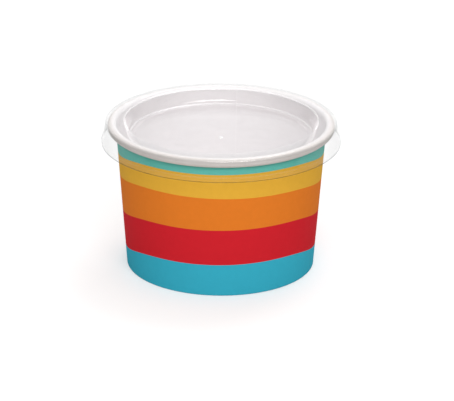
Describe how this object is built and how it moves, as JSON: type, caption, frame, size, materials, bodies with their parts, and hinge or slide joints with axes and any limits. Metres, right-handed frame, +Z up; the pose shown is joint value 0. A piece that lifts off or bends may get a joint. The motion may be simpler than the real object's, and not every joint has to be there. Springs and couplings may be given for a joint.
{
  "type": "paper dessert cup with lid",
  "caption": "Conical coated-paper cup with printed stripes, rolled rim and recessed bottom, closed by a clear formed plastic lid with a sunken panel.",
  "frame": {"origin": "centre of the cup's foot, on the surface it stands on", "axes": "+Z up along the axis of the cup; -Y is the printed front, and the side seam lies at the back, a little to the +X side of +Y"},
  "size_m": [0.0996, 0.0996, 0.0627],
  "materials": {
    "printed_board": "satin",
    "plain_board": "satin",
    "clear_sheet": "clear gloss"
  },
  "bodies": {
    "cup": {"side_wall": "printed_board", "bottom_disc": "plain_board"},
    "lid": {"lid": "clear_sheet"}
  },
  "joints": [
    {"name": "lid_lift", "type": "slide", "parent": "cup", "child": "lid", "axis": [0, 0, 1], "range_m": [0, 0.04]}
  ]
}
